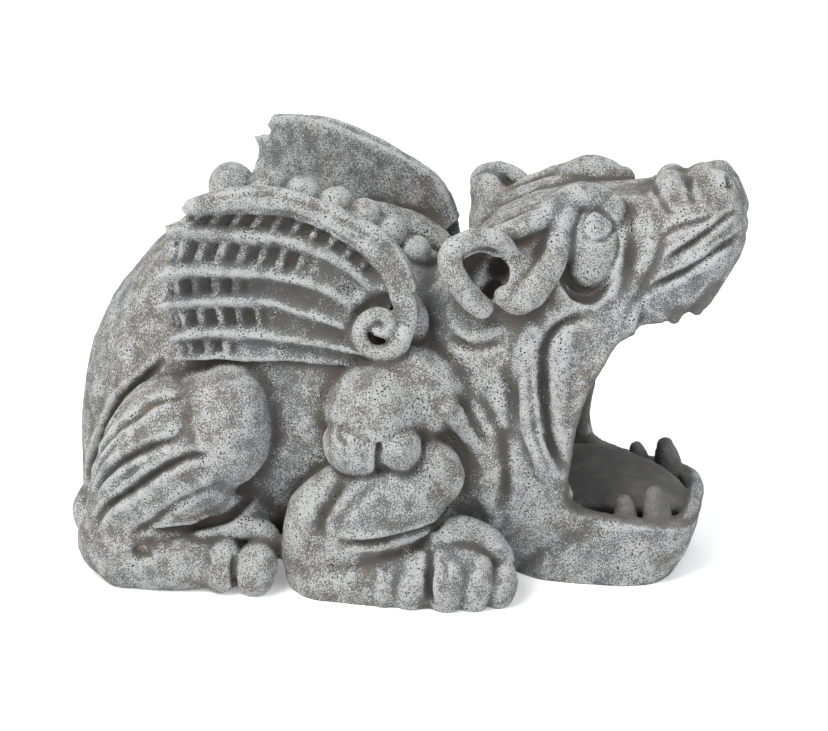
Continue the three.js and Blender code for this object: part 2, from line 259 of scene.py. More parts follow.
# plan-view rings [height, front end, half width] that share their back end
def planRings(rows, back, squareness=3.4, around=56):
    rings = []
    for height, front, half in rows:
        middle, reach = (front + back) / 2, (front - back) / 2
        ring = []
        for k in range(around):
            along, out = rounded(2 * math.pi * k / around, squareness)
            ring.append(place(middle + reach * along, half * out, height))
        rings.append(ring)
    return extrudedRings(rings)


# the same clay on the other side too
def onBothSides(pieces):
    clay = joined(pieces)
    mirror = clay.modifiers.new("otherSide", "MIRROR")
    mirror.use_axis = (False, True, False)
    mirror.use_mirror_merge = False
    return applied(clay, mirror)


def fused(pieces, grain, steps):
    clay = joined(pieces)
    remesh = clay.modifiers.new("fuse", "REMESH")
    remesh.mode = "VOXEL"
    remesh.voxel_size = grain * metre
    applied(clay, remesh)
    if steps:
        soften = clay.modifiers.new("soften", "SMOOTH")
        soften.factor = 0.5
        soften.iterations = steps
        applied(clay, soften)
    return clay


def carved(clay, cutter):
    cut = clay.modifiers.new("cut", "BOOLEAN")
    cut.operation = "DIFFERENCE"
    cut.solver = "MANIFOLD"
    cut.object = cutter
    applied(clay, cut)
    bpy.data.objects.remove(cutter)
    return clay


# points along a smooth curve through a few knots
def through(knots, spacing, closed=False):
    knots = [np.array(knot, float) for knot in knots]
    count = len(knots)
    spans = count if closed else count - 1
    points = []
    for k in range(spans):
        if closed:
            a, b, c, d = (knots[(k + step) % count] for step in (-1, 0, 1, 2))
        else:
            a, b, c, d = (knots[min(max(k + step, 0), count - 1)] for step in (-1, 0, 1, 2))
        parts = max(1, int(np.linalg.norm(c - b) / spacing))
        for part in range(parts):
            u = part / parts
            square = (2 * a - 5 * b + 4 * c - d) * u ** 2
            cube = (3 * b - a - 3 * c + d) * u ** 3
            points.append(0.5 * (2 * b + (c - a) * u + square + cube))
    if not closed:
        points.append(knots[-1])
    return np.array(points)


def surfaceTree(piece):
    mesh = piece.data
    return BVHTree.FromPolygons(
        [vertex.co.copy() for vertex in mesh.vertices],
        [tuple(face.vertices) for face in mesh.polygons],
    )


# where the line of sight through a point meets the clay, and which way the clay faces there
def onto(tree, point):
    eye = lookingPlace()[0]
    target = place(*point)
    sight = (target - eye).normalized()
    at, normal = tree.ray_cast(target - sight * 0.25, sight, 0.5)[:2]
    if at is None:
        at, normal = target, -sight
    return clayPoint(at), np.array(normal)


# a limb laid on the clay, sunk by a share of its radius
def laidLimb(tree, points, radii, sink=0.35):
    laid = []
    for point, radius in zip(points, radii):
        at, normal = onto(tree, point)
        laid.append(at - normal * radius * sink)
    return limb(laid, radii)


# the body, the legs and the head in the rough

body = {
    "trunk": [
        [-183, 8, 60, 20, 34], [-180, -4, 90, 37, 42], [-173, -10, 118, 51, 54], [-163, -14, 138, 61, 62],
        [-142, -16, 164, 71, 74], [-118, -16, 184, 75, 82], [-92, -16, 194, 77, 86], [-62, -16, 190, 77, 88],
        [-30, -16, 179, 76, 88], [0, -16, 162, 74, 86], [26, -16, 150, 68, 82], [50, -16, 150, 60, 80],
    ],
    "tail": [[-162, 8, 24], [-175, 0, 20], [-180, -20, 15], [-177, -40, 12], [-163, -56, 9]],
    "tailRadii": [14, 10, 9, 8.5, 6],
    "knobBreadth": 1.1,
    # knobs along the back, each with its place, its top and its radius
    "knobs": [
        (-100, 208.5, 12.5), (-80, 206.5, 12), (-61, 203, 11.5), (-43, 198, 11), (-27, 192, 10.5),
        (-13, 184, 10), (1, 173, 9),
    ],
}

hindLeg = {
    "haunch": [[-146, -84, 20], [-130, -82, 46], [-108, -77, 75], [-91, -75, 87]],
    "haunchRadii": [22, 32, 40, 31],
    "knee": (-85, -80, 88),
    "kneeRadii": (25, 25, 34),
    "heel": (-138, -90, 18),
    "heelRadii": (17, 17, 23),
    "foot": [[-140, -88, 15], [-114, -89, 14], [-92, -88, 14]],
    "footRadii": [19, 18, 15],
    "filling": (-92, -66, 32),
    "fillingRadii": (33, 24, 22),
    "arch": [
        (-103, -88, 27), (-94, -86, 31), (-84, -84, 33), (-74, -83, 33), (-65, -81, 29), (-61, -79, 20),
    ],
    "archRadii": [6, 7, 7, 7, 7, 6],
    "toes": [
        ((-108, -95, 16), (12, 11, 14)), ((-126, -96, 14), (13, 10, 13)), ((-86, -92, 14), (11.5, 13, 15)),
        ((-68, -91, 13), (11.5, 13, 15.5)),
    ],
}

foreLeg = {
    "shoulder": (-7, -72, 99),
    "shoulderRadii": (26, 25, 28),
    "blade": (2, -60, 106),
    "bladeRadii": (38, 23, 28),
    "lobe": (-14, -84, 85),
    "lobeRadii": (18, 15, 17),
    "bulb": (9, -85, 85),
    "bulbRadii": (10.5, 12, 12.5),
    "arm": [[-32, -78, 20], [-14, -80, 42], [8, -77, 57], [20, -73, 66]],
    "armRadii": [25, 28, 26, 20],
    "strap": [[-42, -79, 8], [-42, -83, 34], [-36, -84, 52], [-26, -82, 64]],
    "strapRadii": [13, 13, 12, 8],
    "paw": [[-30, -81, 9], [4, -84, 10], [40, -82, 14]],
    "pawRadii": [20.5, 19, 19],
    "knuckles": [[24, -80, 28], [35, -77, 36], [45, -75, 35], [54, -74, 30], [60, -74, 22]],
    "knuckleRadii": [7.5, 8.5, 8.5, 8, 7],
    "toes": [
        ((2, -91, 10), (9, 11, 14)), ((16, -92, 11), (10, 11, 15)), ((35, -91, 13), (11, 12, 17)),
        ((49, -87, 12), (9.5, 12, 17)), ((61, -80, 9), (8.5, 12, 14)),
    ],
}

head = {
    "skull": [
        [4, -16, 150, 58, 84], [26, -16, 168, 62, 88], [44, -16, 187, 65, 90], [64, -14, 198, 65, 92],
        [84, -12, 204, 62, 92], [104, -10, 206, 56, 92], [124, -8, 204, 48, 96],
    ],
    "muzzle": [
        [96, 134, 205, 36, 172], [122, 131, 207, 40, 168], [136, 136, 212, 42, 170], [150, 144, 213, 40, 176],
        [162, 152, 215, 36, 185], [170, 167, 212, 29, 190], [175, 176, 203, 20, 191],
    ],
    "noseLumps": [
        ((153, 0, 208), (12, 17, 12.5)), ((160, -9, 211), (8.5, 9, 9.5)), ((136, -6, 208), (9, 12, 10)),
        ((169, -11, 196), (7.5, 10, 7.5)), ((170, -12, 185), (6.5, 11, 8)), ((152, -27, 180), (19, 14, 17)),
    ],
    # fuller forehead under the heavy brow ridges
    "browBed": [(48, -40, 178), (62, -37, 184), (78, -31, 190), (92, -24, 193), (104, -21, 192)],
    "browBedRadii": [11, 12, 13, 13, 12],
    "skullSquareness": 2.6,
    "muzzleSquareness": 3,
}

jaw = {
    "back": 56,
    "rings": [(-8, 144, 50), (4, 150, 52), (12, 155, 52.5), (22, 158, 52), (32, 159, 51), (37, 158, 49)],
    "trough": [(12, 140, 34), (20, 149, 40), (34, 150, 41), (60, 150, 41)],
}


def makeBody():
    return [slices(body["trunk"], 2.5), limb(body["tail"], body["tailRadii"])]


def makeLegs():
    pieces = [
        limb(hindLeg["haunch"], hindLeg["haunchRadii"], 0.78),
        lump(hindLeg["knee"], hindLeg["kneeRadii"], 8),
        lump(hindLeg["heel"], hindLeg["heelRadii"]),
        limb(hindLeg["foot"], hindLeg["footRadii"], 0.92),
        lump(hindLeg["filling"], hindLeg["fillingRadii"]),
        lump(foreLeg["shoulder"], foreLeg["shoulderRadii"], 8),
        lump(foreLeg["blade"], foreLeg["bladeRadii"]),
        limb(foreLeg["arm"], foreLeg["armRadii"], 0.72),
        limb(foreLeg["strap"], foreLeg["strapRadii"]),
        limb(foreLeg["paw"], foreLeg["pawRadii"], 0.85),
    ]
    return [onBothSides(pieces)]


def makeToes():
    pieces = [
        limb(hindLeg["arch"], hindLeg["archRadii"]),
        limb(foreLeg["knuckles"], foreLeg["knuckleRadii"]),
        lump(foreLeg["lobe"], foreLeg["lobeRadii"]),
        lump(foreLeg["bulb"], foreLeg["bulbRadii"]),
    ]
    pieces += [lump(at, radii, 10) for at, radii in hindLeg["toes"] + foreLeg["toes"]]
    return onBothSides(pieces)


def makeHead():
    lumps = [lump(at, radii) for at, radii in head["noseLumps"]]
    lumps.append(limb(head["browBed"], head["browBedRadii"]))
    jawBlock = planRings(jaw["rings"], jaw["back"])
    skull = slices(head["skull"], head["skullSquareness"])
    muzzle = slices(head["muzzle"], head["muzzleSquareness"])
    return [skull, muzzle, jawBlock, onBothSides(lumps), makeEarBacks()]


# the far ear sits a little further back than the near one
def makeEarBacks():
    pieces = []
    for side, shift in ((1, 0), (-1, face["farEarShift"])):
        knots = [(x + shift, side * y, z) for x, y, z in face["earBack"]]
        pieces.append(limb(knots, face["earBackRadii"], 0.8))
    return joined(pieces)


def makeEars():
    pieces = []
    for side, shift in ((1, 0), (-1, face["farEarShift"])):
        knots = [(x + shift, side * y, z) for x, y, z in face["earRoll"]]
        pieces.append(limb(knots, face["earRollRadii"]))
    return joined(pieces)


# the hollows

hollows = {
    "mouth": [
        (119, 138), (107, 120), (99, 103), (95, 88), (93, 70), (91, 54), (96, 43), (120, 38),
        (150, 34), (178, 26), (230, 20), (230, 150), (180, 150), (150, 144),
    ],
    "throat": [
        [-8, 46, 74, 10, 60], [4, 36, 94, 24, 62], [30, 24, 112, 34, 64],
        [60, 16, 126, 42, 66], [100, 12, 138, 45, 70], [126, 12, 148, 44, 78],
    ],
    "palate": [[112, 120, 150, 34, 134], [140, 126, 158, 31, 142], [160, 140, 168, 23, 152]],
    "small": [
        ((99, -49, 180), (16.5, 14, 24)),
        ((46, -70, 178), (11, 17, 8)),
        ((53, -67, 174), (8, 20, 9)),
        ((52, -66, 165), (6, 16, 8)),
        ((176, -9, 212), (6, 3.5, 5)),
    ],
}


def mouthHollow():
    outline = through([(x, 0, z) for x, z in hollows["mouth"]], 4, closed=True)
    prism = extrudedRings([[place(x, out, z) for x, _, z in outline] for out in (-95, 95)])
    trough = planRings(jaw["trough"], jaw["back"])
    return fused([prism, slices(hollows["throat"], 2.6), slices(hollows["palate"]), trough], 1.5, 3)


def smallHollows():
    return fused([onBothSides([lump(*hollow) for hollow in hollows["small"]])], 1.0, 1)


# the wings

wing = {
    "foot": 124,
    "top": 217,
    "front": 8,
    "length": 120,
    "footOut": (72, 84),
    "topOut": (64, 106),
    "flare": 2.6,
    "thick": 8,
    "notch": 7,
    # ribs from the top down, each from the ragged rear edge to the scroll; the second is the rim's foot
    "ribs": [
        [(-97, 212), (-83, 216), (-62, 216), (-40, 210), (-18, 201), (-2, 192), (8, 180), (14, 165)],
        [(-101, 207), (-77, 207), (-56, 205), (-39, 200), (-21, 190), (-8, 179), (1, 164), (5, 157)],
        [(-109, 199), (-92, 196), (-71, 192), (-52, 189), (-34, 182), (-18, 173), (-6, 162), (1, 155)],
        [(-116, 173), (-101, 175), (-79, 173), (-57, 170), (-38, 166), (-24, 159), (-12, 151), (-4, 146)],
        [(-116, 157), (-102, 158), (-79, 158), (-61, 157), (-46, 152), (-30, 147), (-19, 143), (-8, 138)],
        [(-113, 137), (-95, 140), (-80, 140), (-65, 139), (-49, 137), (-33, 135), (-20, 132), (-8, 130)],
        [(-112, 125), (-97, 125), (-85, 126), (-73, 125), (-49, 125), (-33, 124), (-20, 124), (-8, 124)],
    ],
    "rim": [
        (-96, 209), (-80, 210), (-60, 209), (-42, 204), (-22, 194.5), (-8, 184.5), (2, 172), (7, 160),
        (8.5, 149), (6, 139), (1, 133),
    ],
    "rimRadii": [5, 6.5, 8, 8, 8, 7.5, 7, 6.5, 6, 5.5, 5],
    "rimFlat": 0.62,
    "curl": [
        (8, 143), (5, 135.5), (-2, 131.5), (-9, 132), (-14, 137), (-14.5, 144.5), (-10, 150), (-3, 151),
        (0.5, 147), (-2, 142.5), (-6, 143),
    ],
    "curlRadii": [5, 5.2, 4.8, 4.5, 4.3, 4.3, 4.3, 4.2, 4, 3.8, 3.4],
    "recess": (-3, 146),
    "recessRadius": 19,
    "recessDepth": 5,
    "root": (-42, -53, 142),
    "rootRadii": (60, 15, 34),
}


# distance of a wing's outer face from the middle: it spreads to the rear and the top
def wingOut(x, z):
    back = min(max((wing["front"] - x) / wing["length"], 0), 1)
    foot = wing["footOut"][0] + (wing["footOut"][1] - wing["footOut"][0]) * back
    top = wing["topOut"][0] + (wing["topOut"][1] - wing["topOut"][0]) * back ** wing["flare"]
    share = min(max((z - wing["foot"]) / (wing["top"] - wing["foot"]), 0), 1)
    return foot + (top - foot) * share


def ribLines():
    lines = []
    for rib in wing["ribs"]:
        fine = through([(x, 0, z) for x, z in rib], 0.5)
        lines.append(fine[np.linspace(0, len(fine) - 1, 61).astype(int)])
    return lines


# where a wing's web is: s runs from the rear edge forward and t counts the ribs down
def wingPoint(s, t, lines):
    rib = min(int(t), len(lines) - 2)
    share = t - rib
    k = s * (len(lines[0]) - 1)
    step = min(int(k), len(lines[0]) - 2)
    above = (1 - k + step) * lines[rib][step] + (k - step) * lines[rib][step + 1]
    below = (1 - k + step) * lines[rib + 1][step] + (k - step) * lines[rib + 1][step + 1]
    x, _, z = (1 - share) * above + share * below
    if rib:
        x += wing["notch"] * math.sin(math.pi * share) * max(0, 1 - s * 9)
    return x, z


def webDepth(x, z):
    far = math.hypot(x - wing["recess"][0], z - wing["recess"][1]) / wing["recessRadius"]
    return wing["recessDepth"] * min(max((1.1 - far) / 0.3, 0), 1)


def makeWings():
    across, down = 100, 90
    lines = ribLines()
    deselect()
    bpy.ops.mesh.primitive_grid_add(x_subdivisions=across, y_subdivisions=down, size=2, location=(0, 0, 0))
    web = bpy.context.object
    for vertex in web.data.vertices:
        s, t = (vertex.co.x + 1) / 2, (1 - vertex.co.y) / 2 * (len(lines) - 1)
        x, z = wingPoint(s, t, lines)
        vertex.co = place(x, -wingOut(x, z) + wing["thick"] / 2 + webDepth(x, z), z)
    solidify = web.modifiers.new("thickness", "SOLIDIFY")
    solidify.thickness = wing["thick"] * metre
    solidify.offset = 0
    applied(web, solidify)
    rim = limb([(x, -wingOut(x, z) + 1.5, z) for x, z in wing["rim"]], wing["rimRadii"], wing["rimFlat"])
    curl = limb([(x, -wingOut(x, z) + 0.5, z) for x, z in wing["curl"]], wing["curlRadii"])
    return [onBothSides([web, rim, curl, lump(wing["root"], wing["rootRadii"])])]


# face, ears, teeth and tongue

face = {
    "farEarShift": -7,
    "earBack": [(56, -44, 164), (46, -52, 172), (38, -60, 183)],
    "earBackRadii": [25, 20, 11],
    "earRoll": [
        (60, -54, 183), (55, -60, 191), (47, -64, 193.5), (38, -69, 192), (32, -72, 187), (32, -73, 181),
        (36, -72, 172), (42, -69, 163), (47, -65, 157),
    ],
    "earRollRadii": [5, 5, 5, 5.5, 6, 6, 6, 6.5, 6],
    "eye": ((99, -34, 180), (15, 13, 22.5)),
    "brow": [
        (109, -30, 203), (104, -34, 207), (97, -36, 209), (90, -38, 207), (85, -42, 200), (84, -45, 190),
        (81, -45, 179), (75, -50, 168), (69, -52, 160), (62, -54, 158), (57, -55, 160),
    ],
    "browRadii": [5, 5.5, 6, 6.5, 7, 7, 7.5, 8, 8, 7.5, 5.5],
    # the heavy ridge over the brow, set on the forehead by its own places
    "upperBrow": [
        (46, -50, 186), (56, -49, 191), (65, -46, 195), (74, -41, 199), (81, -35, 202), (88, -30, 205),
        (95, -27, 206), (102, -25, 204), (108, -25, 199),
    ],
    "upperBrowRadii": [4, 5, 5.5, 6.5, 7.5, 8.5, 8.5, 8, 6.5],
    "cornerLump": ((108, -28, 200), (7.5, 8, 9)),
    "earLobe": [(30, -62, 153), (34, -64, 145), (44, -62, 140), (56, -57, 143)],
    "earLobeRadii": [5, 6, 6, 5],
    "cheekFold": [
        (72, -58, 143), (69, -61, 134), (71, -68, 112), (74, -70, 90), (82, -68, 72), (93, -60, 55),
    ],
    "cheekFoldRadii": [6, 8, 8, 8, 7.5, 6],
    "innerFold": [(90, -56, 138), (87, -60, 119), (88, -60, 100), (89, -57, 86)],
    "innerFoldRadii": [5, 6, 5, 3.5],
    "chestFold": [(30, -64, 100), (42, -66, 86), (53, -66, 70), (51, -62, 50), (54, -57, 36)],
    "chestFoldRadii": [7, 8, 8, 7, 7],
    "lipRoll": [
        (94, -46, 42), (104, -47.5, 35.5), (120, -47, 33), (134, -45.5, 32), (146, -40, 31),
        (152.5, -29, 31), (155, -14, 31), (155, 0, 31),
    ],
    "lipRollRadii": [3.5, 4, 4, 4, 4.3, 4.5, 4.5, 4.5],
}

bite = {
    "teeth": [
        ([(122, -39, 20), (121.5, -38.5, 33), (120.5, -38, 41.5), (120, -38, 43.5)], [7, 7, 5.3, 4.2]),
        ([(139, -36, 20), (138, -35.5, 36), (136.5, -35, 45.5), (136, -35, 48)], [8, 7.8, 6.2, 4.8]),
        ([(158, -27, 165), (156, -28, 156), (153.5, -29, 150)], [6.5, 5.2, 3.2]),
        ([(143, -31, 152), (142.5, -31, 147), (142.5, -31, 145.5)], [5.5, 4, 3]),
    ],
    # tongue stations: x, height, half width, rise, drop
    "tongue": [
        (40, 36, 30, 4, 14), (70, 41, 31, 4, 14), (96, 42, 31, 4, 13), (117, 40.5, 28, 4, 13),
        (135, 37, 22, 4, 12), (146, 33, 15, 3.5, 10), (152, 30.5, 7, 3, 7),
    ],
    "tongueRoll": 10,
}


def makeFace(tree):
    pieces = [
        lump(*face["cornerLump"]),
        limb(face["lipRoll"], face["lipRollRadii"]),
        limb(face["upperBrow"], face["upperBrowRadii"]),
        laidLimb(tree, face["brow"], face["browRadii"], 0.1),
        laidLimb(tree, face["earLobe"], face["earLobeRadii"], 0.75),
        laidLimb(tree, face["cheekFold"], face["cheekFoldRadii"], 0.6),
        laidLimb(tree, face["innerFold"], face["innerFoldRadii"], 0.6),
        laidLimb(tree, face["chestFold"], face["chestFoldRadii"], 0.65),
    ]
    return [onBothSides(pieces), makeEars()]


def makeTongue():
    tilt = math.radians(bite["tongueRoll"])
    rings = []
    for x, height, half, rise, drop in bite["tongue"]:
        ring = []
        for k in range(36):
            out, high = rounded(2 * math.pi * k / 36, 2.6)
            dip = -2 * (1 - out * out) if high > 0 else 0
            up = high * (rise if high > 0 else drop) + dip
            side = half * out
            ring.append(place(
                x,
                side * math.cos(tilt) - up * math.sin(tilt),
                height + up * math.cos(tilt) + side * math.sin(tilt),
            ))
        rings.append(ring)
    return extrudedRings(rings)


def makeTeeth():
    return onBothSides([limb(points, radii) for points, radii in bite["teeth"]])


def makeKnobs():
    knobs = []
    for x, top, radius in body["knobs"]:
        knobs.append(lump((x, 0, top - radius), (radius, radius * body["knobBreadth"], radius)))
    return knobs


# strokes of the modelling tool, as a path, a width and a depth, or a height where it is raised

strokes = [
    # rump and haunch
    ([(-172, -53, 46), (-155, -64, 78), (-143, -78, 98), (-134, -72, 106), (-118, -74, 122)], 2, -5),
    ([
        (-100, -104, 95), (-106, -104, 89), (-120, -104, 83),
        (-135, -104, 74), (-145, -104, 65), (-154, -100, 52),
    ], 1.9, -4.5),
    ([
        (-87, -104, 82), (-100, -104, 79), (-114, -104, 71),
        (-128, -104, 60), (-143, -104, 49), (-151, -104, 38),
    ], 2.1, -5),
    ([(-83, -106, 67), (-93, -106, 61), (-107, -106, 52), (-120, -106, 41), (-133, -104, 33)], 2.4, -3),
    ([
        (-102, -98, 110), (-117, -98, 106), (-128, -98, 97),
        (-136, -98, 91), (-145, -98, 81), (-153, -96, 68),
    ], 1.9, -2.8),
    ([(-138, -90, 100), (-145, -90, 88), (-152, -90, 76), (-157, -90, 64), (-160, -90, 48)], 1.7, -2.6),
    ([(-132, -98, 90), (-142, -98, 78), (-150, -97, 66), (-156, -96, 52)], 1.4, -1.8),
    ([(-124, -104, 74), (-136, -104, 63), (-147, -102, 50)], 1.4, -1.6),
    ([(-123, -98, 33), (-110, -98, 35), (-99, -98, 38), (-81, -98, 44), (-67, -98, 58)], 2.1, -5),
    ([(-132, -102, 25), (-126, -102, 21), (-121, -102, 24)], 2.6, -2.4),
    ([(-76, -102, 27), (-77, -104, 17), (-76, -104, 6)], 1.6, -3),
    ([(-92, -100, 24), (-90, -102, 18)], 1.4, -1.8),
    # forearm and shoulder
    ([(32, -88, 47), (21, -88, 41), (6, -88, 35), (-8, -88, 31), (-24, -88, 30)], 2, -4.5),
    ([(-20, -92, 68), (-26, -92, 56), (-31, -92, 46), (-34, -92, 34)], 3.6, -3.6),
    ([(-2, -94, 68), (-12, -95, 60), (-20, -96, 50), (-24, -95, 42)], 2.4, -1.6),
    ([(-19, -95, 101), (-21, -95, 94), (-17, -95, 87)], 1.5, -1.8),
    ([(0, -97, 93), (-1, -97, 85), (-1, -97, 76)], 1.6, -4),
    # between the front toes
    ([(26, -94, 34), (26, -98, 20), (27, -98, 5)], 1.9, -4),
    ([(3, -98, 24), (4, -101, 16)], 1.3, -1.4),
    ([(34, -98, 30), (36, -102, 20)], 1.3, -1.2),
    # neck and cheek
    ([(46, -62, 108), (58, -66, 88), (61, -66, 66), (60, -62, 46)], 2.8, -2.6),
    ([(56, -62, 125), (61, -64, 116), (63, -70, 106), (63, -66, 85)], 3.2, -2.6),
    ([(34, -66, 112), (42, -68, 98), (50, -68, 84)], 2, -1.6),
    ([
        (103, -48, 151), (93, -58, 151), (85, -62, 147), (80, -66, 137), (80, -68, 118), (82, -66, 98),
        (85, -64, 82), (92, -60, 67),
    ], 2.3, -4.5),
    ([(66, -66, 128), (66, -68, 108), (69, -68, 88), (76, -66, 70)], 1.5, -1.6),
    ([(72, -66, 128), (74, -68, 108), (77, -68, 88), (84, -66, 70)], 1.3, -1.2),
    ([(30, -62, 139), (42, -62, 134), (56, -60, 137)], 2.2, -2.2),
    # the rim of the lower lid
    ([(86, -40, 165), (89, -40, 160), (95, -40, 158), (102, -40, 160), (109, -40, 167), (114, -40, 177),
      (115, -40, 188), (112, -40, 198)], 1.5, 2),
    # muzzle
    ([(133, -34, 198), (134, -35, 184), (128, -38, 168), (122, -40, 155), (116, -42, 142)], 2.6, -2.2),
    ([(118, -26, 206), (119, -32, 190), (119, -36, 172), (115, -40, 152)], 3.6, -2.2),
    ([(136, -33, 176), (146, -33, 184), (157, -33, 193), (167, -33, 202), (172, -33, 206)], 1.5, -3.6),
    ([
        (127, -33, 159), (135, -33, 165), (146, -33, 171),
        (157, -33, 179), (168, -33, 188), (174, -33, 194),
    ], 1.6, -3.8),
    ([(134, -33, 189), (142, -33, 195), (151, -33, 198), (161, -33, 202)], 1.4, -2.4),
    ([(128, -18, 213), (134, -24, 204), (140, -28, 200)], 1.3, -1.8),
    ([(146, -12, 216), (147, -20, 209), (151, -26, 206)], 1.6, -2.2),
    ([(166, -10, 217), (167, -14, 211)], 1.8, -3),
    # forehead
    ([(40, -30, 192), (56, -30, 200), (74, -26, 206)], 1.2, -1.4),
    ([(46, -20, 195), (60, -18, 203), (80, -16, 208)], 1.2, -1.3),
    ([(44, -38, 190), (58, -38, 197), (72, -34, 203)], 1.3, -1.8),
    ([(84, -18, 212), (94, -14, 214), (104, -12, 212)], 1.3, -1.6),
    # the rim of the wings
    ([
        (-92, -92, 213), (-62, -78, 214), (-40, -73, 208),
        (-18, -71, 198), (-2, -70, 187), (8, -70, 172),
    ], 1, -1.1),
    ([
        (-92, -92, 206), (-62, -78, 206), (-42, -73, 201),
        (-22, -71, 191), (-8, -70, 180), (1, -70, 168),
    ], 1, -1.1),
    # iris
    ([(103, -39, 203), (109, -39, 199), (110, -39, 193), (106, -39, 188), (100, -39, 187), (95, -39, 191),
      (95, -39, 198), (99, -39, 203), (103, -39, 203)], 1, -1.5),
    ([(101, -42, 197), (103, -42, 195)], 1.8, 1.2),
]


def meshArrays(piece):
    mesh = piece.data
    places = np.empty(len(mesh.vertices) * 3)
    mesh.vertices.foreach_get("co", places)
    normals = np.empty(len(mesh.vertices) * 3)
    mesh.vertices.foreach_get("normal", normals)
    places = places.reshape(-1, 3) / metre
    places[:, 0] -= shiftX
    return places, normals.reshape(-1, 3)


def putBack(piece, places):
    moved = places.copy()
    moved[:, 0] += shiftX
    piece.data.vertices.foreach_set("co", (moved * metre).astype(np.float32).ravel())
    piece.data.update()


# each stroke presses or raises the clay near its path, with soft banks and ends, on both sides alike
def drawStrokes(piece):
    tree = surfaceTree(piece)
    places, normals = meshArrays(piece)
    folded = places.copy()
    folded[:, 1] = -np.abs(folded[:, 1])
    push = np.zeros(len(places))
    for path, width, depth in strokes:
        laid = np.array([onto(tree, point)[0] for point in through(path, 1.5)])
        reach = 4 * width
        near = np.where(((folded > laid.min(0) - reach) & (folded < laid.max(0) + reach)).all(1))[0]
        distance = np.full(len(near), 1e9)
        along = np.zeros(len(near))
        for k, knot in enumerate(laid):
            gap = ((folded[near] - knot) ** 2).sum(1)
            closer = gap < distance
            distance[closer] = gap[closer]
            along[closer] = k / (len(laid) - 1)
        distance = np.sqrt(distance) / width
        closed = np.linalg.norm(laid[0] - laid[-1]) < 2
        ends = 1 if closed else np.clip(np.minimum(along, 1 - along) * 5, 0, 1) ** 0.7
        banks = -0.22 * np.exp(-((distance - 2.2) / 1.0) ** 2)
        push[near] += surface["strokeShare"] * depth * ends * (np.exp(-distance ** 2) + banks)
    putBack(piece, places + normals * push[:, None])


# the ribs and the ladder of small pits between them, on the outer face of each wing
relief = {
    "facing": 0.25,
    "rear": -125,
    "front": 6,
    "foot": 119,
    "reachIn": 4,
    "reachAcross": 2.5,
    # length of the top rib, and how much shorter each one below it is
    "length": 112,
    "taper": 4,
    # the relief starts this share of the recess's radius away from the scroll
    "clearOfScroll": 0.95,
    "fadeIn": 4,
    "ridge": 3.2,
    "ridgeWidth": 0.14,
    "hollow": 1.4,
    "pit": 2.0,
    "pitch": 8.3,
    "bar": 0.34,
    # how far forward the pits run in each band, from the rim down
    "rows": [0.0, 0.86, 0.62, 0.4, 0.5, 0.35],
}


def carveWings(piece):
    places, normals = meshArrays(piece)
    lines = ribLines()
    samples = [
        (i / 150, j / 20, *wingPoint(i / 150, j / 20, lines))
        for i in range(151)
        for j in range(20 * (len(lines) - 1) + 1)
    ]
    tree = KDTree(len(samples))
    for k, (s, t, x, z) in enumerate(samples):
        tree.insert((x, 0, z), k)
    tree.balance()
    push = np.zeros(len(places))
    bands = np.zeros(len(places))
    side = np.sign(places[:, 1])
    facing = normals[:, 1] * side > relief["facing"]
    lengthwise = (places[:, 0] > relief["rear"]) & (places[:, 0] < relief["front"])
    outer = facing & lengthwise & (places[:, 2] > relief["foot"])
    for k in np.where(outer)[0]:
        x, z = places[k, 0], places[k, 2]
        if abs(places[k, 1]) < wingOut(x, z) - relief["reachIn"]:
            continue
        _, best, far = tree.find((x, 0, z))
        s, t = samples[best][:2]
        if far > relief["reachAcross"] or t < 1:
            continue
        length = relief["length"] - relief["taper"] * t
        fromScroll = math.hypot(x - wing["recess"][0], z - wing["recess"][1]) / wing["recessRadius"]
        fade = min(max(fromScroll - relief["clearOfScroll"], 0) * relief["fadeIn"], 1)
        share = t - int(t)
        band = min(int(t), 5)
        ridge = max(math.exp(-((t - rib) / relief["ridgeWidth"]) ** 2) for rib in range(2, 6))
        height = relief["ridge"] * ridge - relief["hollow"] * math.sin(math.pi * share) ** 0.5
        along = s * length / relief["pitch"]
        inPit = min(max((1 - abs(along % 1 - 0.5) * 2 - relief["bar"]) / 0.2, 0), 1)
        inRow = min(max((share - 0.2) / 0.1, 0), 1) * min(max((0.82 - share) / 0.1, 0), 1)
        inLength = min(max((relief["rows"][band] - s) / 0.05, 0), 1) * min(max((s - 0.03) / 0.03, 0), 1)
        push[k] = fade * (height - relief["pit"] * inPit * inRow * inLength)
        bands[k] = fade * (1 - ridge)
    places[:, 1] += side * push
    putBack(piece, places)
    tint = piece.data.attributes.new("band", "FLOAT", "POINT")
    tint.data.foreach_set("value", bands.astype(np.float32))


# uneven casting: clouds of noise pushed into the clay
surface = {
    "roughGrain": 1.8,
    "fineGrain": 1.05,
    "triangles": 192000,
    # size of each cloud in metres and its depth in millimetres
    "clouds": [(0.024, 1.6), (0.008, 0.7), (0.0035, 0.4)],
    "strokeShare": 0.8,
    "closeSteps": 8,
    "wideSteps": 60,
    "smoothReach": 1.6,
    "sliver": 0.02,
    "gapSides": 12,
}


def roughened(clay):
    for size, depth in surface["clouds"]:
        texture = bpy.data.textures.new("unevenness", "CLOUDS")
        texture.noise_scale = size
        texture.noise_depth = 2
        push = clay.modifiers.new("unevenness", "DISPLACE")
        push.texture = texture
        push.texture_coords = "LOCAL"
        push.mid_level = 0.5
        push.strength = depth * metre
        applied(clay, push)
    return clay


def averaged(values, edges, counts, steps):
    for _ in range(steps):
        total = np.zeros_like(values)
        for column in range(values.shape[1]):
            total[:, column] = np.bincount(edges[:, 0], values[edges[:, 1], column], len(values))
            total[:, column] += np.bincount(edges[:, 1], values[edges[:, 0], column], len(values))
        values = total / counts[:, None]
    return values


